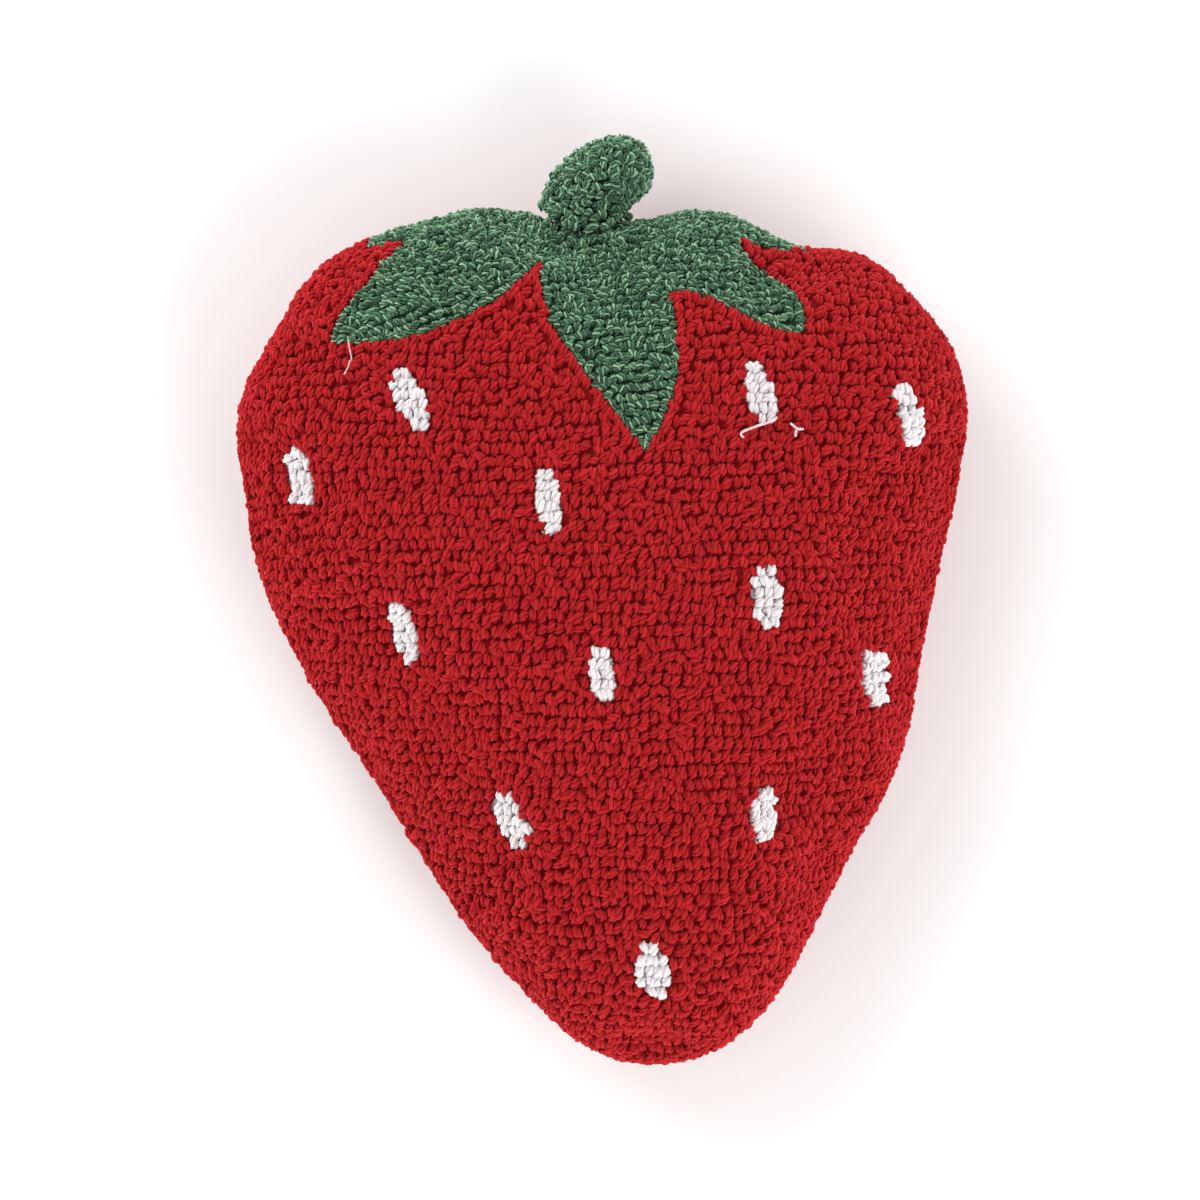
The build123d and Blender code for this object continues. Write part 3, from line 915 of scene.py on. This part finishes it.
def make_stem():
    """Loops at random over the stem, longer and looser at its tip, on its own small foundation."""
    canvas = nodes["stem_canvas"]
    pile, _ = tree_of(["pile_stem"])
    mesh = canvas.data
    mesh.calc_loop_triangles()
    corners = np.array([[mesh.vertices[i].co[:] for i in t.vertices] for t in mesh.loop_triangles])
    normals = np.array([t.normal[:] for t in mesh.loop_triangles])
    areas = np.array([t.area for t in mesh.loop_triangles])
    picked = rng.choice(len(areas), 9000, p=areas / areas.sum())
    mix = rng.dirichlet((1, 1, 1), len(picked))
    places = np.einsum("nk,nki->ni", mix, corners[picked])
    normals = normals[picked]
    outside = [pile.find_nearest(Vector(p), 0.3 * MM)[0] is not None for p in places]
    outside = np.array(outside) & (places[:, 2] > SEAM_Z + 0.3 * MM)
    places, normals = lifted(places[outside], normals[outside], tree_of(PILE_NODES)[0], STEM_BLEND)
    tips = places + normals * PILE
    crown = tree_of_points(face.tips())
    keep = []
    for index, tip in enumerate(tips):
        clear = crown.find(tip)[2] > STEM_GAP
        if clear and all(np.sum((tips[k] - tip) ** 2) > STEM_GAP**2 for k in keep):
            keep.append(index)
    places, normals = places[keep], normals[keep]
    along = unit(np.cross(normals, np.tile([0.35, 0.94, 0.0], (len(places), 1))) + 1e-6)
    spots = loosened(places, normals, along, 1.2, 0.16)
    low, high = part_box("pile_stem")
    tip = np.clip((places[:, 0] - (low.x + high.x) / 2) / (high.x - low.x) * 2, 0, 1)
    tip = tip * (places[:, 1] > low.y + 0.3 * (high.y - low.y))
    spots = (spots[0], spots[1], spots[2], spots[3] * (1 + 0.22 * tip * rng.uniform(0.4, 1.6, len(tip))))
    piece = lay_loops("pile_stem_loops", spots, GREEN_FORMS, GREEN_CONTRAST)
    dress(piece, GREEN_YARN, "green_yarn", "pile_stem")


def soft_copy(name, node, voxel, swell, material, slot):
    """A rounded, slightly uneven copy of a CAD soft solid, which it stands for."""
    piece = new_object(name, nodes[node].data.copy())
    texture = bpy.data.textures.new(name, "CLOUDS")
    texture.noise_scale = 12 * MM
    modify(piece, "REMESH", mode="VOXEL", voxel_size=voxel)
    modify(piece, "SMOOTH", iterations=4)
    modify(piece, "DISPLACE", texture=texture, strength=swell)
    apply_modifiers(piece)
    piece.data.polygons.foreach_set("use_smooth", np.ones(len(piece.data.polygons), bool))
    return dress(piece, material, slot, node)


make_stem()
soft_copy("stem_back_velveteen", "stem_back", 0.8 * MM, 0.2 * MM, VELVET, "velveteen")
stem_ground = soft_copy("stem_ground", "stem_canvas", 0.8 * MM, 0.1 * MM, GROUND, "canvas")
store(stem_ground, "green", np.ones(len(stem_ground.data.vertices)))
soft_copy("stem_filling", "stem_fill", 1.6 * MM, 0.3 * MM, FIBRE, "fibre")


# ---------------------------------------------------------------- back, zip, label and insert
def zip_place(x, y, z):
    """A point of the zip's own frame, in the row frame."""
    middle, along, across, out = ZIP
    return middle + along * x + across * y + out * z


def slot_outline(length, width, count=14):
    """Points round a slot with round ends, in the zip's own frame."""
    half, radius = (length - width) / 2, width / 2
    right = [(half + radius * cos(a), radius * sin(a)) for a in np.linspace(-pi / 2, pi / 2, count)]
    left = [(-half + radius * cos(a), radius * sin(a)) for a in np.linspace(pi / 2, 3 * pi / 2, count)]
    return right + left


SLOT = (110 * MM, 12.4 * MM)


def onto_cover(x, y, proud):
    """The point of the cover in front of a point of the zip, standing proud of it by so much."""
    start = Vector(zip_place(x, y, 0.03))
    hit = cover_tree.ray_cast(start, -Vector(ZIP[3]), 0.06)
    return np.array(hit[0]) + np.array(hit[1]) * proud


def make_back():
    """The velveteen back, with a slot for the zip."""
    back = cover.points[::-3, EQUATOR::-1]
    normals = cover.normals[::-3, EQUATOR::-1]
    piece = shell_object("back_velveteen", back, back - normals * 1.1 * MM)
    outline = slot_outline(*SLOT)
    count = len(outline)
    verts = [zip_place(x, y, z) for z in (-5 * MM, 8 * MM) for x, y in outline]
    cutter = bpy.data.meshes.new("slot_cutter")
    rim = [[i, (i + 1) % count, count + (i + 1) % count, count + i] for i in range(count)]
    cutter.from_pydata(verts, [], rim + [list(range(count))[::-1], list(range(count, 2 * count))])
    tool = new_object("slot_cutter", cutter)
    modify(piece, "BOOLEAN", object=tool, operation="DIFFERENCE", solver="EXACT")
    apply_modifiers(piece)
    bpy.data.objects.remove(tool)
    dress(piece, VELVET, "velveteen", "back_panel")


def tube(points, radius, sides=8, closed=False):
    """Points and quads of a tube along a line."""
    points = np.asarray(points)
    count = len(points)
    ahead = np.roll(points, -1, 0) - np.roll(points, 1, 0) if closed else np.gradient(points, axis=0)
    ahead = unit(ahead)
    out = np.tile(ZIP[3], (count, 1))
    side = unit(np.cross(ahead, out))
    up = np.cross(side, ahead)
    return ringed(points, side, up, radius, sides), tube_faces(count, sides, closed)


def combined(parts):
    """One set of points and quads from several."""
    verts, faces, start = [], [], 0
    for points, quads in parts:
        verts.append(points)
        faces.append(quads + start)
        start += len(points)
    return np.concatenate(verts), np.concatenate(faces)


def make_zip():
    """Coil teeth, the folded edge of the slot and the stitching beside it."""
    coil = points_of(nodes["zip_coil_upper"])
    reach = np.abs((coil - ZIP[0]) @ ZIP[1]).max()
    pitch = 1.25 * MM
    for name, side in (("upper", 1), ("lower", -1)):
        turns = int(2 * reach / pitch) - 2
        t = np.linspace(0, turns * 2 * pi, turns * 12)
        x = -reach + pitch * (1 + t / (2 * pi)) + side * pitch / 4
        y = side * (1.55 * MM + 1.05 * MM * np.cos(t))
        z = 0.62 * MM + 0.42 * MM * np.sin(t)
        line = ZIP[0] + x[:, None] * ZIP[1] + y[:, None] * ZIP[2] + z[:, None] * ZIP[3]
        piece = mesh_object(f"zip_coil_{name}_teeth", *tube(line, 0.27 * MM, 6))
        dress(piece, NYLON, "zip_coil", f"zip_coil_{name}")
    length, width = SLOT
    outline = slot_outline(length, width, 20)
    lip = [onto_cover(x, y, 0.1 * MM) for x, y in outline]
    dress(mesh_object("zip_slot_edge", *tube(lip, 0.75 * MM, 10, True)), VELVET, "velveteen")
    stitches = []
    for x in np.arange(-length / 2 + 6 * MM, length / 2 - 5 * MM, 3.4 * MM):
        ends = [onto_cover(x + dx * MM, -width / 2 - 3 * MM, proud * MM)
                for dx, proud in ((0, -0.1), (0.7, 0.28), (1.9, 0.28), (2.6, -0.1))]
        stitches.append(tube(ends, 0.24 * MM, 6))
    dress(mesh_object("zip_stitching", *combined(stitches)), THREAD, "thread")


def make_label():
    """A blank satin tape, folded double, with both ends in the seam."""
    low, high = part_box("care_label")
    middle = np.array([(low.x + high.x) / 2, (low.y + high.y) / 2, high.z])
    points = points_of(nodes["care_label"])
    top = points[points[:, 2] > high.z - 0.1 * MM]
    spread = top - top.mean(0)
    along = unit(np.linalg.svd(spread)[2][0])
    outward = unit(np.cross(along, [0, 0, 1.0]))
    if outward @ middle < 0:
        outward = -outward
    width = np.ptp(spread @ along)
    drop = high.z - low.z - 1.5 * MM
    down = np.linspace(0, 1, 14)
    bulge = 0.55 * MM + 2.2 * MM * np.sin(pi * down * 0.8) ** 2  # away from the cover
    fold = 0.5 * MM  # radius
    profile = list(zip(bulge, -drop * down))
    for a in np.linspace(0, pi, 7)[1:-1]:
        profile.append((bulge[-1] - fold * (1 - cos(a)), -drop - fold * sin(a)))
    profile += zip((bulge - 2 * fold * np.minimum(1, 2 * down))[::-1], (-drop * down)[::-1])
    across = np.linspace(-width / 2, width / 2, 9)
    verts = [middle + along * a + outward * (p + 0.5 * MM * sin(a / width * 5)) + np.array([0, 0, z])
             for p, z in profile for a in across]
    faces = [(i * 9 + j, i * 9 + j + 1, (i + 1) * 9 + j + 1, (i + 1) * 9 + j)
             for i in range(len(profile) - 1) for j in range(8)]
    piece = dress(mesh_object("care_label_tape", verts, faces), SATIN, "label_satin", "care_label")


def make_insert():
    """The bag of filling inside the cover, and its fibre."""
    lumps = 0.6 * MM * np.sin(cover.points[..., 0:1] * 140) * np.sin(cover.points[..., 1:2] * 120 + 1)
    bag = cover.points - cover.normals * (7.5 * MM + lumps)
    piece = mesh_object("insert_bag", *closed_grid(bag[::4, ::2]))
    dress(piece, LINING, "lining", "insert_front", "insert_back")
    wad = cover.points - cover.normals * (9.5 * MM + 1.5 * lumps)
    piece = mesh_object("fibre_wad", *closed_grid(wad[::4, ::2]))
    dress(piece, FIBRE, "fibre", "fibre_fill")


make_back()
make_zip()
make_label()
make_insert()

for material, kept in ((TAPE, ("zip_tape_upper", "zip_tape_lower")), (THREAD, ("seam_thread",)),
                       (BRASS, ("zip_top_stops", "zip_bottom_stop", "zip_slider", "pull_tab"))):
    for node in kept:
        nodes[node].data.materials.clear()
        nodes[node].data.materials.append(material)


# ---------------------------------------------------------------- stray ends
def loose_end(name, trails, radius):
    """A stray end of thread or yarn: a thin tube through a few points of each trail."""
    curve = bpy.data.curves.new(name, "CURVE")
    curve.dimensions = "3D"
    curve.bevel_depth = radius
    curve.bevel_resolution = 2
    for points in trails:
        spline = curve.splines.new("NURBS")
        spline.points.add(len(points) - 1)
        for point, (x, y, proud) in zip(spline.points, points):
            hit = cover_tree.ray_cast(Vector((x, y, 0.3)), Vector((0, 0, -1)))
            point.co = (x, y, hit[0].z + 1.15 * PILE / hit[1].z + proud, 1)
        spline.order_u = 3
        spline.use_endpoint_u = True
    holder = new_object(name, curve)
    made = bpy.data.meshes.new_from_object(holder.evaluated_get(bpy.context.evaluated_depsgraph_get()))
    bpy.data.objects.remove(holder)
    dress(new_object(name, made), STRAY, "white_yarn")


def make_loose_ends():
    """Stray ends that the hooking left: one under the left leaf's tip, two at the foot of a seed."""
    tip = min((v.co for v in nodes["pile_calyx"].data.vertices), key=lambda c: c.x)
    low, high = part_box("seed_04")
    foot = Vector(((low.x + high.x) / 2, low.y))
    thread = [(8.5, 2, -1), (9.5, -4, 0.6), (10.5, -7.5, 1), (9, -9, 1.2), (8.5, -12, 0.8), (6.5, -15, 0.9)]
    yarn = [(8, 3, -1), (7.5, 1.5, 0.8), (2, 0, 1.2), (-4, -2.2, 1), (-9, -4, 1.1), (-9.5, -6, 0.9),
            (-8, -6.5, -1)]
    tuft = [(15, 0, -1), (16.5, -1.2, 1.4), (18.6, -3, 1.6), (21, -2.6, 0.4)]
    fork = [(18.2, -2.6, 0.8), (17, -4.4, 1.4), (17.4, -6.2, 0.2)]
    for name, start, trails, radius in (
            ("loose_thread", tip, (thread,), 0.3), ("loose_yarn", foot, (yarn,), 0.62),
            ("loose_tuft", foot, (tuft, fork), 0.62)):
        trails = [[(start.x + x * MM, start.y + y * MM, z * MM) for x, y, z in trail] for trail in trails]
        loose_end(name, trails, radius * MM)


make_loose_ends()


# ---------------------------------------------------------------- studio
CAMERA_HEIGHT = 9.0
FRAME_WIDTH = 0.5887
TENT = 4.2  # strength of the soft light all round
LAMP_SIZE = 1.4
LAMP_POWER = 26  # watts


def light_tent(scene):
    """A tent of soft light, brightest near the floor, and two large lamps across from each other."""
    world = bpy.data.worlds.new("studio")
    world.use_nodes = True
    add = adder(world.node_tree)
    background = world.node_tree.nodes["Background"].inputs
    split = add("ShaderNodeSeparateXYZ", add("ShaderNodeTexCoord").outputs["Generated"])
    fade = add("ShaderNodeValToRGB", split.outputs["Z"])
    fade.color_ramp.interpolation = "EASE"
    low, high = fade.color_ramp.elements
    low.position, high.position = 0.02, 0.55
    low.color, high.color = (1, 1, 1, 1), (0.10, 0.10, 0.10, 1)
    feed(background["Color"], fade.outputs["Color"])
    feed(background["Strength"], TENT)
    scene.world = world
    for name, place in (("key", (-1.2, 1.3, 1.3)), ("fill", (1.2, -1.3, 1.3))):
        lamp = bpy.data.lights.new(name, "AREA")
        lamp.size = LAMP_SIZE
        lamp.energy = LAMP_POWER
        holder = new_object(name, lamp)
        holder.location = place
        aim = Vector((0, 0, SEAM_Z)) - Vector(place)
        holder.rotation_euler = aim.to_track_quat("-Z", "Y").to_euler()


def make_studio():
    """A pale floor, large soft lamps and the camera straight above."""
    scene = bpy.context.scene
    bpy.ops.mesh.primitive_plane_add(size=40)
    floor = bpy.context.object
    floor.name = "floor"
    material, shader, _, _ = new_material("floor", 0.9)
    shader.inputs["Base Color"].default_value = (0.93, 0.93, 0.925, 1)
    floor.data.materials.append(material)
    light_tent(scene)
    camera = bpy.data.cameras.new("camera")
    camera.sensor_width = 36
    camera.lens = 36 * (CAMERA_HEIGHT - SEAM_Z) / FRAME_WIDTH
    camera.clip_end = 40
    holder = new_object("camera", camera)
    holder.location = (-1.0 * MM, 0, CAMERA_HEIGHT)
    scene.camera = holder
    scene.view_settings.view_transform = "Standard"


make_studio()
